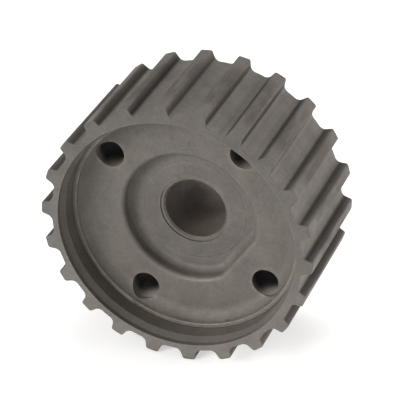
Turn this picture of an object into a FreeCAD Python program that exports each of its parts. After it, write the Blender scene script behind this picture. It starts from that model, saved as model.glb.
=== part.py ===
"""Timing belt pulley: a toothed rim, a web disc pressed into it, a drive hub and a bore bush.

Frame: the shaft axis is Y, the open cup faces -Y and the boss points to +Y, +Z is up.
The origin is on the axis, in the middle of the toothed face. Every size is in millimetres.
Depths are measured along +Y from the cup's open face.
"""
import FreeCAD, Part
import math
import os
from FreeCAD import Vector

# Belt teeth: a 3/8 inch timing belt, 22 teeth
TOOTH_COUNT = 22
BELT_PITCH = 9.525
PITCH_LINE_OFFSET = 0.686
TOOTH_DEPTH = 2.57
TOOTH_ROOT_HALF_WIDTH = 2.09
FLANK_ANGLE = math.radians(14.6)
TIP_ROUNDING = 0.6
ROOT_ROUNDING = 1.6
FACE_WIDTH = 30.2
END_CHAMFER = 0.15  # both ends of the toothed face
INDEX_ANGLE = math.radians(145.0)  # the tooth that stands opposite the flat of the seat

PITCH_RADIUS = TOOTH_COUNT * BELT_PITCH / (2 * math.pi)
TIP_RADIUS = PITCH_RADIUS - PITCH_LINE_OFFSET
ROOT_RADIUS = TIP_RADIUS - TOOTH_DEPTH

# Cup in the open face of the rim
MOUTH_RADIUS = 28.6
MOUTH_DEPTH = 1.2
MOUTH_BEVEL_DEPTH = 1.6
SEAT_RADIUS = 27.8  # the web disc is pressed into this bore
REAR_CHAMFER = 0.8

# Web disc
LIP_DEPTH = 6.45
LIP_WIDTH = 1.0
LIP_ROUNDING = 0.1
WEB_DEPTH = 9.0
WEB_FILLET = 3.2
DISC_BACK_DEPTH = 21.0

# D-shaped seat for the nose of the crankshaft
D_RADIUS = 16.0
D_FLAT_DISTANCE = 14.5
D_FLOOR_DEPTH = 13.0
D_FLOOR_FILLET = 1.65
D_MOUTH_ROUNDING = 1.0

# Four M8 screw holes: three a quarter turn apart, the fourth moved on so that a pulley fits one way
SCREW_CIRCLE_RADIUS = 23.05
SCREW_MINOR_RADIUS = 3.32
SCREW_LEAD_IN = 0.5  # on the back only
SCREW_SHIFT = math.radians(7.5)

# Drive hub
SPIGOT_RADIUS = 12.45
SPIGOT_EDGE = 0.05
FLANGE_DEPTH = 16.5
FLANGE_RADIUS = 18.6
BOSS_RADIUS = 13.5
BOSS_END_DEPTH = 36.5
BOSS_CHAMFER = 0.8

# Bore bush
BUSH_RADIUS = 8.48
BORE_RADIUS = 7.41
BUSH_SINK = 0.3
BORE_BEVEL = 0.4

PAST = 1.0  # how far a cutting tool runs past a face
TOLERANCE = 0.01


def at(radius, depth):
    """A point of a half section, given by its radius and its depth below the open face."""
    return Vector(radius, depth - FACE_WIDTH / 2, 0)


def revolved(*edges):
    """The solid swept by a closed half section about the Y axis."""
    face = Part.Face(Part.Wire(edges))
    return face.revolve(Vector(0, 0, 0), Vector(0, 1, 0), 360)


def polygon(*corners):
    """The straight edges round a closed outline."""
    loop = corners + corners[:1]
    return [Part.makeLine(loop[i], loop[i + 1]) for i in range(len(corners))]


def cylinder(radius, start_depth, end_depth, x=0.0, z=0.0):
    """A cylinder along Y between two depths, centred on x and z."""
    base = Vector(x, start_depth - FACE_WIDTH / 2, z)
    return Part.makeCylinder(radius, end_depth - start_depth, base, Vector(0, 1, 0))


def cone(start_radius, end_radius, start_depth, end_depth, x=0.0, z=0.0):
    """A truncated cone along Y between two depths, centred on x and z."""
    base = Vector(x, start_depth - FACE_WIDTH / 2, z)
    return Part.makeCone(start_radius, end_radius, end_depth - start_depth, base, Vector(0, 1, 0))


def edges_at(shape, depth, max_radius=math.inf):
    """The shape's edges that lie in one plane at a depth, and no further than this from the axis."""
    y = depth - FACE_WIDTH / 2
    found = []
    for edge in shape.Edges:
        box = edge.BoundBox
        reach = max(math.hypot(point.x, point.z) for point in edge.discretize(9))
        if box.YLength < TOLERANCE and abs(box.YMin - y) < TOLERANCE and reach < max_radius + TOLERANCE:
            found.append(edge)
    return found


def rounding(corner_distance, side_distance, normal, along):
    """Centre of a rounding, from its distances to the axis and to the flank's parallel through the axis."""
    rise = math.sqrt(corner_distance ** 2 - side_distance ** 2)
    return normal * side_distance + along * rise


def flank_points():
    """Points down the right flank of a tooth that stands along +Z, from its tip land to its root.

    A rounding joins the flank to the tip circle and another to the root circle, both tangent.
    """
    normal = Vector(math.cos(FLANK_ANGLE), 0, math.sin(FLANK_ANGLE))
    along = Vector(-math.sin(FLANK_ANGLE), 0, math.cos(FLANK_ANGLE))
    foot = Vector(TOOTH_ROOT_HALF_WIDTH, 0, ROOT_RADIUS)
    flank_distance = foot.dot(normal)
    tip_reach = TIP_RADIUS - TIP_ROUNDING
    root_reach = ROOT_RADIUS + ROOT_ROUNDING
    tip = rounding(tip_reach, flank_distance - TIP_ROUNDING, normal, along)
    root = rounding(root_reach, flank_distance + ROOT_ROUNDING, normal, along)
    land_end = tip * (TIP_RADIUS / tip_reach)
    flank_top = tip + normal * TIP_ROUNDING
    flank_bottom = root - normal * ROOT_ROUNDING
    root_end = root * (ROOT_RADIUS / root_reach)
    tip_bend = tip + ((land_end - tip) + (flank_top - tip)).normalize() * TIP_ROUNDING
    root_bend = root + ((flank_bottom - root) + (root_end - root)).normalize() * ROOT_ROUNDING
    return land_end, tip_bend, flank_top, flank_bottom, root_bend, root_end


def turned(point, angle):
    """The point turned about the Y axis, anticlockwise as seen from the open face."""
    c, s = math.cos(angle), math.sin(angle)
    return Vector(point.x * c - point.z * s, point.y, point.x * s + point.z * c)


def mirrored(point):
    return Vector(-point.x, point.y, point.z)


def toothed_blank():
    """The toothed outline, drawn clockwise tooth by tooth and extruded over the face width."""
    land_end, tip_bend, flank_top, flank_bottom, root_bend, root_end = flank_points()
    step = 2 * math.pi / TOOTH_COUNT
    edges = []
    for tooth in range(TOOTH_COUNT):
        angle = INDEX_ANGLE - math.pi / 2 - tooth * step

        def here(point):
            return turned(point, angle)

        def left(point):
            return turned(mirrored(point), angle)

        def next_left(point):
            return turned(mirrored(point), angle - step)

        land_middle = here(Vector(0, 0, TIP_RADIUS))
        root_middle = turned(Vector(0, 0, ROOT_RADIUS), angle - step / 2)
        edges += [
            Part.Arc(left(land_end), land_middle, here(land_end)).toShape(),
            Part.Arc(here(land_end), here(tip_bend), here(flank_top)).toShape(),
            Part.makeLine(here(flank_top), here(flank_bottom)),
            Part.Arc(here(flank_bottom), here(root_bend), here(root_end)).toShape(),
            Part.Arc(here(root_end), root_middle, next_left(root_end)).toShape(),
            Part.Arc(next_left(root_end), next_left(root_bend), next_left(flank_bottom)).toShape(),
            Part.makeLine(next_left(flank_bottom), next_left(flank_top)),
            Part.Arc(next_left(flank_top), next_left(tip_bend), next_left(land_end)).toShape(),
        ]
    outline = Part.Face(Part.Wire(edges))
    outline.translate(Vector(0, -FACE_WIDTH / 2, 0))
    blank = outline.extrude(Vector(0, FACE_WIDTH, 0))
    return blank.makeChamfer(END_CHAMFER, edges_at(blank, 0) + edges_at(blank, FACE_WIDTH))


def toothed_rim():
    """Ring with the belt teeth outside and, inside, a bevelled mouth and the bore that the disc sits in."""
    inside = revolved(*polygon(
        at(0, -PAST),
        at(MOUTH_RADIUS, -PAST),
        at(MOUTH_RADIUS, MOUTH_DEPTH),
        at(SEAT_RADIUS, MOUTH_DEPTH + MOUTH_BEVEL_DEPTH),
        at(SEAT_RADIUS, FACE_WIDTH - REAR_CHAMFER),
        at(SEAT_RADIUS + REAR_CHAMFER + PAST, FACE_WIDTH + PAST),
        at(0, FACE_WIDTH + PAST),
    ))
    return toothed_blank().cut(inside)


def disc_blank():
    """Plain disc with a lip round its edge, and a hollow fillet that sweeps up from the web to the lip."""
    lip_inner = SEAT_RADIUS - LIP_WIDTH
    sweep = math.acos(1 - (WEB_DEPTH - LIP_DEPTH) / WEB_FILLET)
    centre = at(lip_inner - WEB_FILLET * math.sin(sweep), WEB_DEPTH - WEB_FILLET)

    def on_fillet(angle):
        return centre + Vector(math.sin(angle), math.cos(angle), 0) * WEB_FILLET

    blank = revolved(
        Part.makeLine(at(0, WEB_DEPTH), on_fillet(0)),
        Part.Arc(on_fillet(0), on_fillet(sweep / 2), on_fillet(sweep)).toShape(),
        Part.makeLine(on_fillet(sweep), at(SEAT_RADIUS, LIP_DEPTH)),
        Part.makeLine(at(SEAT_RADIUS, LIP_DEPTH), at(SEAT_RADIUS, DISC_BACK_DEPTH)),
        Part.makeLine(at(SEAT_RADIUS, DISC_BACK_DEPTH), at(0, DISC_BACK_DEPTH)),
        Part.makeLine(at(0, DISC_BACK_DEPTH), at(0, WEB_DEPTH)),
    )
    return blank.makeFillet(LIP_ROUNDING, edges_at(blank, LIP_DEPTH))


def beyond_flat(distance, start_depth, end_depth):
    """Block that fills everything past a flat at this distance from the axis, opposite the index tooth."""
    size = 2 * D_RADIUS
    block = Part.makeBox(size, end_depth - start_depth, 2 * size)
    block.translate(Vector(distance, start_depth - FACE_WIDTH / 2, -size))
    block.rotate(Vector(0, 0, 0), Vector(0, -1, 0), math.degrees(INDEX_ANGLE) + 180)
    return block


def d_window():
    """Cutter for the D-shaped seat: a round pocket with one flat, filleted all round its floor."""
    pocket = cylinder(D_RADIUS, WEB_DEPTH - PAST, D_FLOOR_DEPTH)
    pocket = pocket.cut(beyond_flat(D_FLAT_DISTANCE, WEB_DEPTH - PAST, D_FLOOR_DEPTH))
    return pocket.makeFillet(D_FLOOR_FILLET, edges_at(pocket, D_FLOOR_DEPTH))


def screw_angles():
    quarter = math.pi / 2
    return [
        INDEX_ANGLE,
        INDEX_ANGLE - quarter,
        INDEX_ANGLE - 2 * quarter,
        INDEX_ANGLE + quarter + SCREW_SHIFT,
    ]


def screw_hole(angle):
    """Cutter for one tapped hole, drilled at the thread's minor radius, with a lead-in at the back."""
    x = SCREW_CIRCLE_RADIUS * math.cos(angle)
    z = SCREW_CIRCLE_RADIUS * math.sin(angle)
    wide = SCREW_MINOR_RADIUS + SCREW_LEAD_IN
    drill = cylinder(SCREW_MINOR_RADIUS, LIP_DEPTH, DISC_BACK_DEPTH, x, z)
    back = cone(SCREW_MINOR_RADIUS, wide, DISC_BACK_DEPTH - SCREW_LEAD_IN, DISC_BACK_DEPTH, x, z)
    return drill.fuse(back)


def web_disc():
    """Disc that closes the rim, with a D-shaped seat in front, a stepped one behind and four screw holes."""
    disc = disc_blank().cut(d_window())
    disc = disc.makeFillet(D_MOUTH_ROUNDING, edges_at(disc, WEB_DEPTH, D_RADIUS))
    disc = disc.cut(cylinder(SPIGOT_RADIUS, D_FLOOR_DEPTH, FLANGE_DEPTH))
    disc = disc.cut(cylinder(FLANGE_RADIUS, FLANGE_DEPTH, DISC_BACK_DEPTH))
    for angle in screw_angles():
        disc = disc.cut(screw_hole(angle))
    return disc


def drive_hub():
    """Hub put in from behind: a spigot that ends level with the seat's floor, a flange and a boss."""
    return revolved(*polygon(
        at(BUSH_RADIUS, D_FLOOR_DEPTH),
        at(SPIGOT_RADIUS - SPIGOT_EDGE, D_FLOOR_DEPTH),
        at(SPIGOT_RADIUS, D_FLOOR_DEPTH + SPIGOT_EDGE),
        at(SPIGOT_RADIUS, FLANGE_DEPTH),
        at(FLANGE_RADIUS, FLANGE_DEPTH),
        at(FLANGE_RADIUS, DISC_BACK_DEPTH),
        at(BOSS_RADIUS, DISC_BACK_DEPTH),
        at(BOSS_RADIUS, BOSS_END_DEPTH - BOSS_CHAMFER),
        at(BOSS_RADIUS - BOSS_CHAMFER, BOSS_END_DEPTH),
        at(BUSH_RADIUS, BOSS_END_DEPTH),
    ))


def bore_bush():
    """Sleeve pressed into the hub, sunk a little below the seat's floor and bevelled at both mouths."""
    mouth = D_FLOOR_DEPTH + BUSH_SINK
    return revolved(*polygon(
        at(BORE_RADIUS + BORE_BEVEL, mouth),
        at(BUSH_RADIUS, mouth),
        at(BUSH_RADIUS, BOSS_END_DEPTH),
        at(BORE_RADIUS + BORE_BEVEL, BOSS_END_DEPTH),
        at(BORE_RADIUS, BOSS_END_DEPTH - BORE_BEVEL),
        at(BORE_RADIUS, mouth + BORE_BEVEL),
    ))


def main():
    os.makedirs("parts", exist_ok=True)
    for make in (toothed_rim, web_disc, drive_hub, bore_bush):
        shape = make()
        shape.exportStep("parts/%s.step" % make.__name__)
        print(make.__name__, shape.isValid(), len(shape.Solids), round(shape.Volume, 1))


main()
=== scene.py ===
"""Timing belt pulley: materials, light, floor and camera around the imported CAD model."""
import math

import bpy
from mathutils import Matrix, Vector


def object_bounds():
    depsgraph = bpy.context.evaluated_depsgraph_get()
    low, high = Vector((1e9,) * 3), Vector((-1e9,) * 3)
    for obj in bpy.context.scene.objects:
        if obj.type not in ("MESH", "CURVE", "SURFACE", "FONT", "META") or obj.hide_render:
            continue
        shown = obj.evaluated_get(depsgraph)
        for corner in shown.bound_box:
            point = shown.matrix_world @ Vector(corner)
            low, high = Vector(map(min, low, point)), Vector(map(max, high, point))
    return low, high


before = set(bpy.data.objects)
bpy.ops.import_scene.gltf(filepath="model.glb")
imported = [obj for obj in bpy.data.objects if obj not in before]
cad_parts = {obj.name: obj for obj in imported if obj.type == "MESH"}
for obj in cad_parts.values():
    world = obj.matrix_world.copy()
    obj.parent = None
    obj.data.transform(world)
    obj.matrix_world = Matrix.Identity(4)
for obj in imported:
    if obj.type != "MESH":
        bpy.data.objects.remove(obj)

bpy.context.view_layer.update()
cad_low, cad_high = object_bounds()

MM = 0.001

# ---------------------------------------------------------------- view, light and floor
CAMERA_AZIMUTH = math.radians(20.33)
CAMERA_ELEVATION = math.radians(30.37)
CAMERA_LOCATION = Vector((0.14319, -0.38463, 0.24159))
CAMERA_NUDGE = Vector((-0.1, 0.1, 0.0)) * MM  # in the camera's own right and up
CAMERA_LENS = 184.7
CAMERA_CLIP = (0.01, 20.0)
SENSOR_WIDTH = 36.0

# name, azimuth and elevation in degrees, distance and size in metres, power in watts, colour
LIGHTS = (
    ("key", -30.5, 20.5, 1.2, 0.6, 14.0, (1.0, 0.99, 0.97)),
    ("top", 190.0, 70.0, 1.2, 0.8, 6.0, (1.0, 0.99, 0.97)),
    ("right", 100.0, 18.0, 1.2, 0.5, 8.0, (1.0, 0.98, 0.96)),
)
SKY_COLOUR = (1.0, 1.0, 1.0)
SKY_STRENGTH = 0.3

FLOOR_SIZE = 6.0
FLOOR_COLOUR = (0.7, 0.7, 0.7)
FLOOR_ROUGHNESS = 0.9
FLOOR_GLOW_COLOUR = (1.0, 1.0, 1.0)
FLOOR_GLOW = 0.52

# ---------------------------------------------------------------- places on the object
# Each pair is where a blend starts and ends. Radii are taken from the shaft axis:
SEAT_SURROUND = (19.0 * MM, 19.3 * MM)  # beyond the D-shaped seat
LIP_INNER_EDGE = (26.7 * MM, 26.9 * MM)
CUP_WALL = (28.55 * MM, 28.65 * MM)
RIM_OUTSIDE = (28.8 * MM, 28.9 * MM)
GROOVE_FLOOR = (30.3 * MM, 30.9 * MM)
FLANK_FADE = (31.2 * MM, 32.5 * MM)
LAND = (31.6 * MM, 32.5 * MM)
# ... places along the shaft axis:
BELOW_WEB = (-6.2 * MM, -5.9 * MM)
# Painted shade in the screw holes: the depths over which it darkens to black on the hole's shaded side and
# on its lit side.
SHADED_SIDE_DEPTHS = (-5.8 * MM, -3.2 * MM)
LIT_SIDE_DEPTHS = (-4.0 * MM, 0.5 * MM)
BELT_EDGE = (6.0 * MM, 13.0 * MM)  # either way from the middle of the toothed face
# ... and heights:
# Heights between which the painted shade on the end faces runs, darkest at the top.
TOP_SHADE_HEIGHTS = (28.0 * MM, -28.0 * MM)

LIT_SIDE_DIRECTION = (-0.6, 0.0, 0.8)  # the way the lit side of a screw hole faces, where its painted shade starts deeper in
# How dark the painted shade deep in the screw holes gets.
HOLE_BLACK = 0.03
WEAR_AND_HIGHLIGHT_BLEND = 0.2  # millimetres either side of where the worn and painted-highlight edges start

# ---------------------------------------------------------------- steel
METALLIC = 0.25
METALLIC_GAIN = 0.6  # added on the edges that are worn and carry a painted highlight
ROUGHNESS_LOSS = 0.25  # taken off on the same worn and highlighted edges
BUMP_HEIGHT = 0.03 * MM
PORE_SIZE = 0.55 * MM
TURNING_PITCH = 0.45 * MM
GRIME_WIDTH = 3.0 * MM
GRIME_STRETCH = 5.0
GRIME_STRENGTH = 0.7
OCCLUSION_SAMPLES = 8
# Reaches of the painted shade: a light darkening in hollows, and a strong one in deep recesses.
HOLLOW_REACH = 2.5 * MM
SHADE_REACH = 8.0 * MM


def direction(azimuth, elevation):
    """Unit vector towards a place seen from the origin: azimuth 0 is -Y (in front), 90 is +X (right)."""
    return Vector((
        math.sin(azimuth) * math.cos(elevation),
        -math.cos(azimuth) * math.cos(elevation),
        math.sin(elevation),
    ))


def make_camera():
    data = bpy.data.cameras.new("camera")
    data.lens = CAMERA_LENS
    data.sensor_width = SENSOR_WIDTH
    data.clip_start, data.clip_end = CAMERA_CLIP
    camera = bpy.data.objects.new("camera", data)
    bpy.context.scene.collection.objects.link(camera)
    camera.rotation_mode = "QUATERNION"
    back = direction(CAMERA_AZIMUTH, CAMERA_ELEVATION)
    camera.rotation_quaternion = (-back).to_track_quat("-Z", "Y")
    camera.location = CAMERA_LOCATION + camera.rotation_quaternion @ CAMERA_NUDGE
    bpy.context.scene.camera = camera


def area_light(name, azimuth, elevation, distance, size, power, colour):
    """A soft square lamp that looks at the origin."""
    data = bpy.data.lights.new(name, "AREA")
    data.shape = "SQUARE"
    data.size = size
    data.energy = power
    data.color = colour
    lamp = bpy.data.objects.new(name, data)
    bpy.context.scene.collection.objects.link(lamp)
    away = direction(math.radians(azimuth), math.radians(elevation))
    lamp.location = away * distance
    lamp.rotation_mode = "QUATERNION"
    lamp.rotation_quaternion = away.to_track_quat("Z", "Y")


def make_world():
    world = bpy.data.worlds.new("studio")
    bpy.context.scene.world = world
    world.use_nodes = True
    background = world.node_tree.nodes["Background"]
    background.inputs["Color"].default_value = (*SKY_COLOUR, 1.0)
    background.inputs["Strength"].default_value = SKY_STRENGTH


def make_floor():
    half = FLOOR_SIZE / 2
    level = cad_low.z
    mesh = bpy.data.meshes.new("floor")
    corners = [(-half, -half, level), (half, -half, level), (half, half, level), (-half, half, level)]
    mesh.from_pydata(corners, [], [(0, 1, 2, 3)])
    floor = bpy.data.objects.new("floor", mesh)
    bpy.context.scene.collection.objects.link(floor)
    material = bpy.data.materials.new("floor")
    material.use_nodes = True
    shader = material.node_tree.nodes["Principled BSDF"]
    shader.inputs["Base Color"].default_value = (*FLOOR_COLOUR, 1.0)
    shader.inputs["Roughness"].default_value = FLOOR_ROUGHNESS
    shader.inputs["Emission Color"].default_value = (*FLOOR_GLOW_COLOUR, 1.0)
    shader.inputs["Emission Strength"].default_value = FLOOR_GLOW
    mesh.materials.append(material)


class Nodes:
    """Short calls for building one material's node tree."""

    def __init__(self, name):
        self.material = bpy.data.materials.new(name)
        self.material.use_nodes = True
        self.tree = self.material.node_tree
        self.shader = self.tree.nodes["Principled BSDF"]

    def add(self, kind, **settings):
        node = self.tree.nodes.new(kind)
        for key, value in settings.items():
            setattr(node, key, value)
        return node

    def link(self, source, target):
        """Feed a socket from another one, or set it to a number."""
        if isinstance(source, (int, float)):
            target.default_value = source
        else:
            self.tree.links.new(source, target)

    def math(self, operation, first, second=0.0):
        node = self.add("ShaderNodeMath", operation=operation)
        self.link(first, node.inputs[0])
        self.link(second, node.inputs[1])
        return node.outputs[0]

    def times(self, first, second):
        return self.math("MULTIPLY", first, second)

    def vector_math(self, operation, first, second=None):
        node = self.add("ShaderNodeVectorMath", operation=operation)
        self.tree.links.new(first, node.inputs[0])
        if isinstance(second, tuple):
            node.inputs[1].default_value = second
        elif second is not None:
            self.tree.links.new(second, node.inputs[1])
        return node.outputs["Value"] if operation == "DOT_PRODUCT" else node.outputs[0]

    def ramp(self, value, low, high, to_low=0.0, to_high=1.0, smooth=True):
        node = self.add("ShaderNodeMapRange")
        node.interpolation_type = "SMOOTHSTEP" if smooth else "LINEAR"
        self.link(value, node.inputs["Value"])
        node.inputs["From Min"].default_value = low
        node.inputs["From Max"].default_value = high
        node.inputs["To Min"].default_value = to_low
        node.inputs["To Max"].default_value = to_high
        return node.outputs["Result"]

    def place(self):
        return self.add("ShaderNodeTexCoord").outputs["Object"]

    def normal(self):
        return self.add("ShaderNodeTexCoord").outputs["Normal"]

    def part(self, vector, axis):
        """One component of a vector."""
        node = self.add("ShaderNodeSeparateXYZ")
        self.tree.links.new(vector, node.inputs[0])
        return node.outputs[axis]

    def noise(self, grain, detail=2.0, roughness=0.5, stretch=1.0):
        """Noise with lumps about grain metres across, and stretch times as long along the shaft axis."""
        node = self.add("ShaderNodeTexNoise")
        squeezed = self.vector_math("MULTIPLY", self.place(), (1.0, 1.0 / stretch, 1.0))
        self.tree.links.new(squeezed, node.inputs["Vector"])
        node.inputs["Scale"].default_value = 1.0 / grain
        node.inputs["Detail"].default_value = detail
        node.inputs["Roughness"].default_value = roughness
        return node.outputs["Fac"]

    def occlusion(self, reach, inside=False):
        """How open the surface is within reach metres: 1 open, 0 shut in."""
        node = self.add("ShaderNodeAmbientOcclusion", samples=OCCLUSION_SAMPLES, inside=inside)
        node.inputs["Distance"].default_value = reach
        return node.outputs["AO"]

    def mix(self, factor, first, second):
        """Blend from one colour to another."""
        node = self.add("ShaderNodeMix", data_type="RGBA")
        self.link(factor, node.inputs["Factor"])
        for source, target in ((first, node.inputs[6]), (second, node.inputs[7])):
            if isinstance(source, tuple):
                target.default_value = (*source, 1.0)
            else:
                self.tree.links.new(source, target)
        return node.outputs[2]

    def mix_value(self, factor, first, second):
        """Blend from one number to another."""
        node = self.add("ShaderNodeMix", data_type="FLOAT")
        self.link(factor, node.inputs["Factor"])
        self.link(first, node.inputs[2])
        self.link(second, node.inputs[3])
        return node.outputs[0]

    def scaled(self, colour, factor):
        """Colour times a number."""
        node = self.add("ShaderNodeVectorMath", operation="SCALE")
        self.tree.links.new(colour, node.inputs[0])
        self.link(factor, node.inputs["Scale"])
        return node.outputs[0]

    def bump(self, height, distance, normal=None):
        node = self.add("ShaderNodeBump")
        node.inputs["Strength"].default_value = 1.0
        node.inputs["Distance"].default_value = distance
        self.link(height, node.inputs["Height"])
        if normal is not None:
            self.tree.links.new(normal, node.inputs["Normal"])
        return node.outputs["Normal"]


# ---------------------------------------------------------------- factors that tell surfaces apart
def radius_from_axis(n):
    """Distance from the shaft axis, in metres."""
    place = n.place()
    across = n.math("POWER", n.part(place, "X"), 2.0)
    up = n.math("POWER", n.part(place, "Z"), 2.0)
    return n.math("SQRT", n.math("ADD", across, up))


def facing_axis(n):
    """1 on surfaces square to the shaft axis, 0 on surfaces that run along it."""
    return n.ramp(n.math("ABSOLUTE", n.part(n.normal(), "Y")), 0.35, 0.9)


def along_axis(n):
    """0 on surfaces square to the shaft axis, 1 on surfaces that run along it."""
    return n.math("SUBTRACT", 1.0, facing_axis(n))


def inside_cup(n):
    """1 on the inner walls of the rim, 0 on its teeth and end faces."""
    return n.ramp(radius_from_axis(n), *CUP_WALL, 1.0, 0.0)


def toothed_side(n):
    """1 on the toothed outside of the rim, 0 on its end faces and inside it."""
    return n.times(along_axis(n), n.ramp(radius_from_axis(n), *RIM_OUTSIDE))


def groove_floor(n):
    """1 on the floors between the teeth, 0 elsewhere."""
    return n.times(n.ramp(radius_from_axis(n), *GROOVE_FLOOR, 1.0, 0.0), toothed_side(n))


def tooth_flank(n):
    """1 on the sides of the teeth near their roots, less towards the tips, 0 everywhere else."""
    spoke = n.vector_math("NORMALIZE", n.vector_math("MULTIPLY", n.place(), (1.0, 0.0, 1.0)))
    outward = n.vector_math("DOT_PRODUCT", spoke, n.normal())
    steep = n.ramp(n.math("ABSOLUTE", outward), 0.4, 0.85, 1.0, 0.0)
    # Stronger near the roots, where the darkness is partly painted shade of the groove corners.
    near_root = n.ramp(radius_from_axis(n), *FLANK_FADE, 1.0, 0.35)
    return n.times(n.times(steep, near_root), along_axis(n))


def belt_track(n):
    """1 on the middle of the tooth lands, where the belt runs, fading towards the ends and the roots."""
    from_middle = n.math("ABSOLUTE", n.part(n.place(), "Y"))
    middle = n.ramp(from_middle, *BELT_EDGE, 1.0, 0.0)
    lands = n.ramp(radius_from_axis(n), *LAND, 0.15, 1.0)
    return n.times(n.times(middle, lands), toothed_side(n))


def screw_hole_wall(n):
    """1 on the walls of the web's screw holes below its face, 0 elsewhere on the web disc's front."""
    below_web = n.ramp(n.part(n.place(), "Y"), *BELOW_WEB)
    outside_seat = n.ramp(radius_from_axis(n), *SEAT_SURROUND)
    return n.times(along_axis(n), n.times(below_web, outside_seat))


def painted_hole_shade(n):
    """Painted shade, black inside a screw hole: at once on its left side, and deeper in on its lower right
    side, which the key lamp reaches.
    """
    depth = n.part(n.place(), "Y")
    shaded_side_tone = n.ramp(depth, *SHADED_SIDE_DEPTHS, 0.45, HOLE_BLACK)
    lit_side_tone = n.ramp(depth, *LIT_SIDE_DEPTHS, 1.0, HOLE_BLACK)
    side = n.vector_math("DOT_PRODUCT", n.normal(), LIT_SIDE_DIRECTION)
    return n.mix_value(n.ramp(side, 0.2, 0.9), shaded_side_tone, lit_side_tone)


# ---------------------------------------------------------------- sintered steel
def steel_colour(n, face, wall, wall_factor, patches):
    """The face's colour, the walls' over it, and then one colour for each further kind of surface."""
    colour = n.mix(wall_factor(n), face, wall)
    for factor, patch in patches:
        colour = n.mix(factor(n), colour, patch)
    return colour


def grime_factor(n):
    """Streaks of dirt along the belt's track."""
    streaks = n.ramp(n.noise(GRIME_WIDTH, 3.0, 0.6, GRIME_STRETCH), 0.3, 0.6, 0.0, GRIME_STRENGTH)
    return n.times(streaks, belt_track(n))


def steel_tone(n, holes, lip_gain, top_shade_range, pore):
    """Brightness: slow mottling, grain and specks, painted shade in the screw holes, a lip lighter from
    polish and painted highlight, painted shade darkening the end faces towards the top, and pores.
    """
    mottle = n.ramp(n.noise(7.0 * MM, 4.0, 0.6), 0.3, 0.7, 0.89, 1.11)
    grain = n.ramp(n.noise(0.9 * MM, 3.0, 0.7), 0.25, 0.75, 0.92, 1.08)
    speck = n.ramp(n.noise(0.25 * MM, 1.0, 0.5), 0.25, 0.75, 0.9, 1.1)
    tone = n.times(n.times(mottle, grain), speck)
    # Painted shade: the screw hole walls darken to black deeper in.
    if holes:
        tone = n.times(tone, n.mix_value(screw_hole_wall(n), 1.0, painted_hole_shade(n)))
    if lip_gain:
        # The lip is lighter: partly polished, partly a painted highlight.
        lip_polish_and_highlight = n.ramp(radius_from_axis(n), *LIP_INNER_EDGE)
        tone = n.math("ADD", tone, n.times(lip_polish_and_highlight, lip_gain))
    # Painted shade: the end faces get darker towards the top, standing in for the light falling off there.
    top_shade = n.ramp(n.part(n.place(), "Z"), *TOP_SHADE_HEIGHTS, *top_shade_range, smooth=False)
    tone = n.times(tone, n.mix_value(facing_axis(n), 1.0, top_shade))
    return n.times(tone, n.ramp(pore, 0.0, 1.0, 0.8, 1.0))


def pore_height(n):
    """0 in the small pores of pressed metal, 1 between them."""
    pores = n.add("ShaderNodeTexVoronoi")
    n.tree.links.new(n.place(), pores.inputs["Vector"])
    pores.inputs["Scale"].default_value = 1.0 / PORE_SIZE
    return n.ramp(pores.outputs["Distance"], 0.08, 0.28)


def worn_and_highlit_edges(n, reach, start):
    """1 on outer edges beyond a radius of start millimetres: worn bright by handling, and partly a painted
    highlight.
    """
    wear_and_highlight = n.ramp(n.occlusion(reach * MM, inside=True), 0.5, 0.98, 1.0, 0.0)
    wear_and_highlight = n.times(wear_and_highlight, n.ramp(n.noise(1.6 * MM, 2.0, 0.6), 0.3, 0.7, 0.3, 1.0))
    if start:
        low, high = (start - WEAR_AND_HIGHLIGHT_BLEND) * MM, (start + WEAR_AND_HIGHLIGHT_BLEND) * MM
        wear_and_highlight = n.times(wear_and_highlight, n.ramp(radius_from_axis(n), low, high))
    return wear_and_highlight


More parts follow.
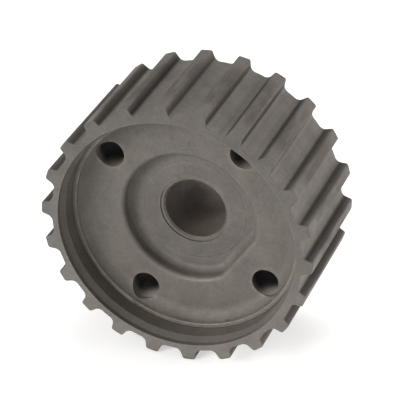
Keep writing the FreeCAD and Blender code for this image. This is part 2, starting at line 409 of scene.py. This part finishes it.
def sintered_steel(name, face_colour, wall_colour, wall_factor=along_axis, patches=(), rings=0.0,
                   holes=False, lip_gain=0.0, edge_reach=1.0, wear_and_highlight_gain=0.4, wear_and_highlight_from=0.0,
                   top_shade_range=(0.85, 0.95)):
    """Matte pressed and sintered steel, with painted shade in its hollows and deep recesses, and edges
    lighter from wear and a painted highlight.
    """
    n = Nodes(name)
    pore = pore_height(n)
    wear_and_highlight = worn_and_highlit_edges(n, edge_reach, wear_and_highlight_from)

    tone = steel_tone(n, holes, lip_gain, top_shade_range, pore)
    # Painted shade: darker in hollows, and much darker in deep recesses such as the screw holes and the
    # cup.
    tone = n.times(tone, n.ramp(n.occlusion(HOLLOW_REACH), 0.3, 0.95, 0.82, 1.0))
    tone = n.times(tone, n.ramp(n.occlusion(SHADE_REACH), 0.08, 0.36, 0.05, 1.0))
    # Lighter edges: partly wear, partly a painted highlight.
    tone = n.math("ADD", tone, n.times(wear_and_highlight, wear_and_highlight_gain))
    colour = n.scaled(steel_colour(n, face_colour, wall_colour, wall_factor, patches), tone)
    n.link(colour, n.shader.inputs["Base Color"])

    metallic = n.math("ADD", METALLIC, n.times(wear_and_highlight, METALLIC_GAIN))
    n.link(metallic, n.shader.inputs["Metallic"])
    rough = n.ramp(n.noise(2.5 * MM, 2.0, 0.5), 0.3, 0.7, 0.58, 0.68)
    n.link(n.math("SUBTRACT", rough, n.times(wear_and_highlight, ROUGHNESS_LOSS)), n.shader.inputs["Roughness"])

    normal = n.bump(n.noise(1.2 * MM, 2.0, 0.5), BUMP_HEIGHT)
    normal = n.bump(n.noise(0.25 * MM, 2.0, 0.6), BUMP_HEIGHT, normal)
    normal = n.bump(pore, BUMP_HEIGHT, normal)
    if rings:
        turning = n.math("SINE", n.times(radius_from_axis(n), 2 * math.pi / TURNING_PITCH))
        normal = n.bump(turning, rings, normal)
    n.link(normal, n.shader.inputs["Normal"])
    return n.material


def make_materials():
    """The material of each CAD node, by the node's name."""
    rim_patches = (
        # Dark tooth flanks: a darker flank surface, and near the roots painted shade of the groove corners.
        (tooth_flank, (0.042, 0.036, 0.031)),
        (groove_floor, (0.170, 0.154, 0.138)),
        (grime_factor, (0.060, 0.048, 0.040)),
    )
    # Painted light: the screw hole walls are much lighter than the face, standing in for lamp light caught
    # by thread flanks the mesh does not have.
    disc_patches = ((screw_hole_wall, (0.38, 0.34, 0.30)),)
    return {
        "toothed_rim": sintered_steel(
            "rim_sintered", (0.140, 0.126, 0.113), (0.138, 0.124, 0.110), inside_cup, rim_patches,
            edge_reach=0.5, top_shade_range=(0.60, 1.0)),
        "web_disc": sintered_steel(
            "disc_sintered", (0.132, 0.119, 0.105), (0.165, 0.148, 0.130), patches=disc_patches,
            holes=True, lip_gain=0.6, edge_reach=1.6, wear_and_highlight_gain=0.55, wear_and_highlight_from=14.0,
            top_shade_range=(0.74, 1.0)),
        "drive_hub": sintered_steel(
            "hub_turned", (0.117, 0.105, 0.094), (0.11, 0.10, 0.087), rings=0.01 * MM,
            top_shade_range=(0.9, 0.9)),
        "bore_bush": sintered_steel(
            "bush_turned", (0.122, 0.110, 0.096), (0.14, 0.117, 0.10), top_shade_range=(0.85, 0.85)),
    }


def main():
    bpy.context.scene.view_settings.view_transform = "Standard"
    make_camera()
    make_world()
    make_floor()
    for light in LIGHTS:
        area_light(*light)
    for node, material in make_materials().items():
        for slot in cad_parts[node].material_slots:
            slot.material = material


main()
